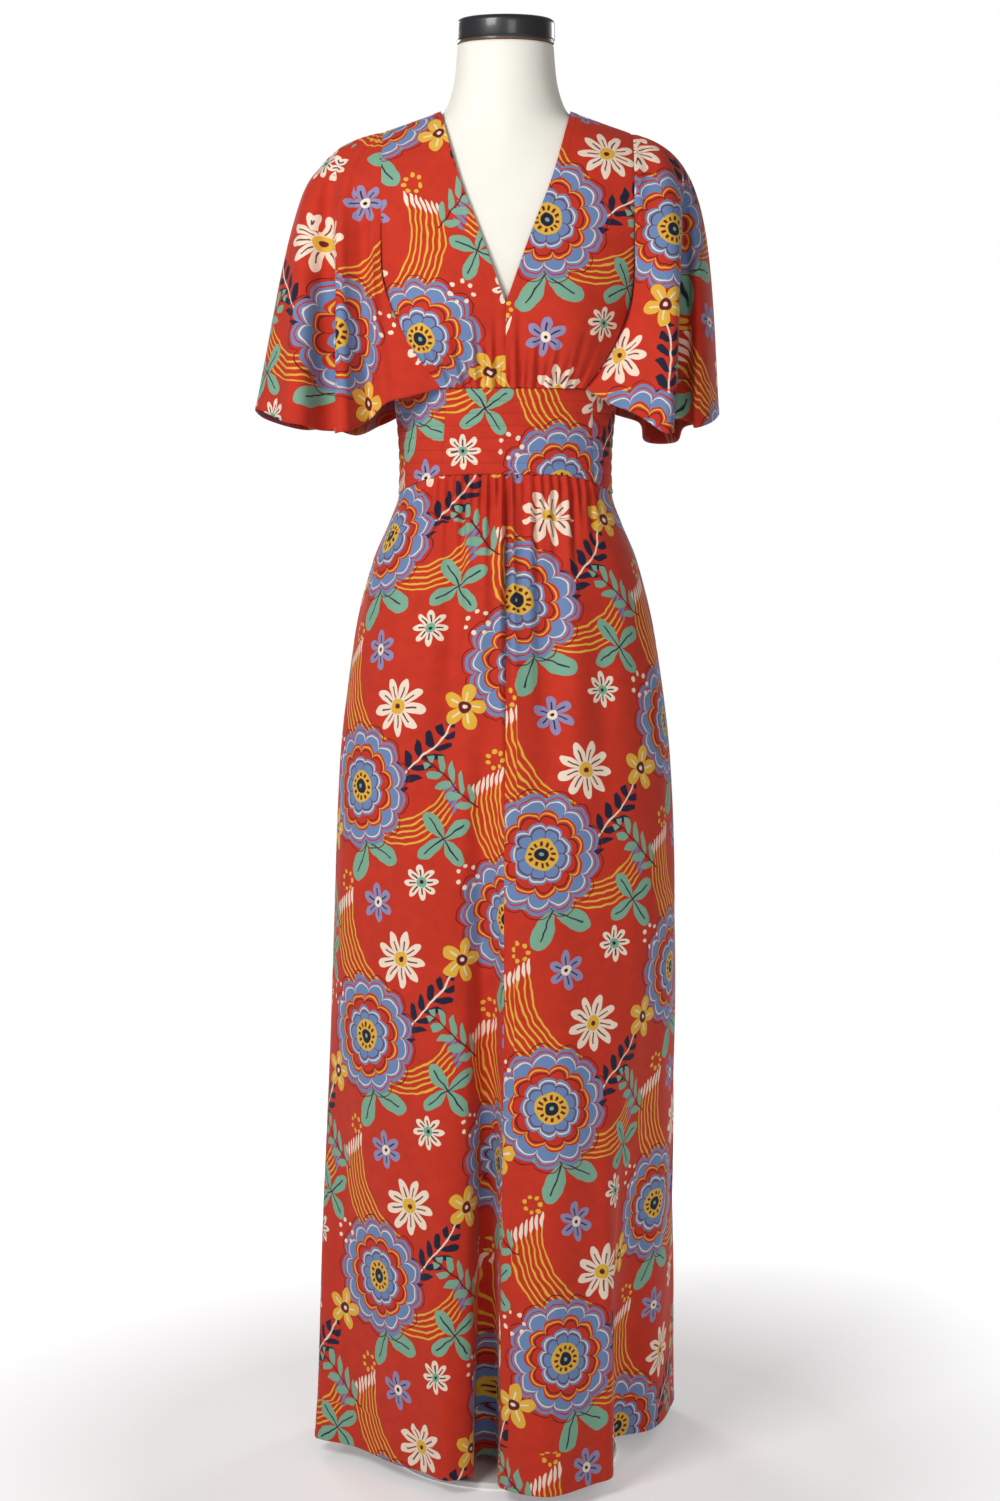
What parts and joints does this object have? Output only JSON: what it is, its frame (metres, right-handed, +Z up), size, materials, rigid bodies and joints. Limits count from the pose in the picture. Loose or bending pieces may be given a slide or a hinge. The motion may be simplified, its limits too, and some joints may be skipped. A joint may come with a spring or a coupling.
{
  "type": "v-neck maxi dress with flutter sleeves on a limbless dress form",
  "caption": "Full-length V-neck dress with open flutter sleeves, a stitched midriff band and a gathered skirt, worn by a plain limbless dress form on a pole and round base.",
  "frame": {"origin": "middle of the base's flat underside, on the floor, under the pole", "axes": "+Z up along the pole; -Y is the dress's front, with the V neck; +X is the right-hand side as seen from the front"},
  "size_m": [0.5006, 0.389, 1.5725],
  "materials": {
    "print_cloth": "brick red crepe printed with slate blue, mustard, sage and cream flowers and leaves, soft dull sheen",
    "form_jersey": "cream knitted jersey stretched over the padded form",
    "cap_wood": "satin black lacquer on a turned wood cap, thin brown line at its lower rim",
    "stand_metal": "satin white powder coat"
  },
  "bodies": {
    "root": {"bodice_front_left": "print_cloth", "bodice_front_right": "print_cloth", "bodice_back": "print_cloth", "bodice_side_left": "print_cloth", "bodice_side_right": "print_cloth", "sleeve_left": "print_cloth", "sleeve_right": "print_cloth", "band_front": "print_cloth", "band_side_left": "print_cloth", "band_side_right": "print_cloth", "band_back": "print_cloth", "skirt_front_left": "print_cloth", "skirt_front_right": "print_cloth", "skirt_back": "print_cloth", "form_torso": "form_jersey", "neck_cap": "cap_wood", "base": "stand_metal", "pole": "stand_metal"}
  },
  "joints": []
}
